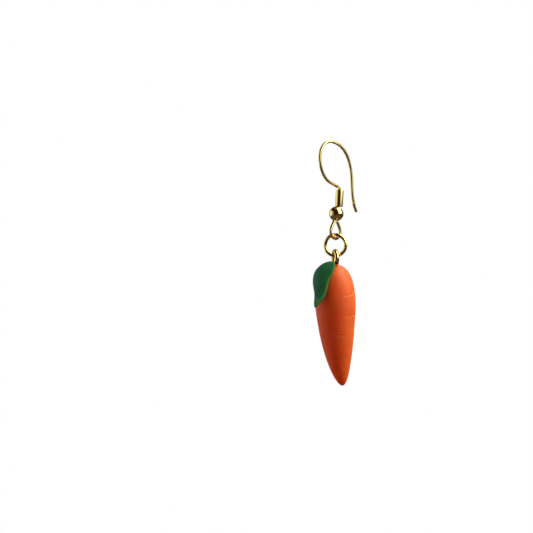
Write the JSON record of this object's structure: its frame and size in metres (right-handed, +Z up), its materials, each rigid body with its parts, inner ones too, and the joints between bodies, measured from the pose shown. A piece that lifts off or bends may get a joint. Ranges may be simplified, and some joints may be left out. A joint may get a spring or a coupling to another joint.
{
  "type": "carrot drop earring",
  "caption": "Drop earring: a small orange clay carrot with a green leaf, hung by a screw eye and a jump ring from a gold hook ear wire with a sleeve and a ball bead.",
  "frame": {"origin": "inside of the hook's crown, where the ear lobe carries the earring", "axes": "+Z up along the hanging earring, -Y its front, +X its right as seen from the front"},
  "size_m": [0.0096, 0.0098, 0.0506],
  "materials": {
    "gold_plated_brass": "gold plated, polished",
    "orange_clay": "baked polymer clay, satin matt",
    "green_clay": "baked polymer clay, satin"
  },
  "bodies": {
    "hook": {"ear_wire": "gold_plated_brass", "sleeve": "gold_plated_brass", "bead": "gold_plated_brass"},
    "ring": {"jump_ring": "gold_plated_brass"},
    "charm": {"screw_eye": "gold_plated_brass", "carrot": "orange_clay", "leaf": "green_clay"}
  },
  "joints": [
    {"name": "ring_swing", "type": "hinge", "parent": "hook", "child": "ring", "pos_m": [0.0012, 0.001, -0.01887], "axis": [0.9659, -0.2588, 0], "range_deg": [-65, 65]},
    {"name": "charm_swing", "type": "hinge", "parent": "ring", "child": "charm", "pos_m": [0.00115, 0.001, -0.02227], "axis": [-0.2079, 0.9781, 0], "range_deg": [-55, 55]}
  ]
}
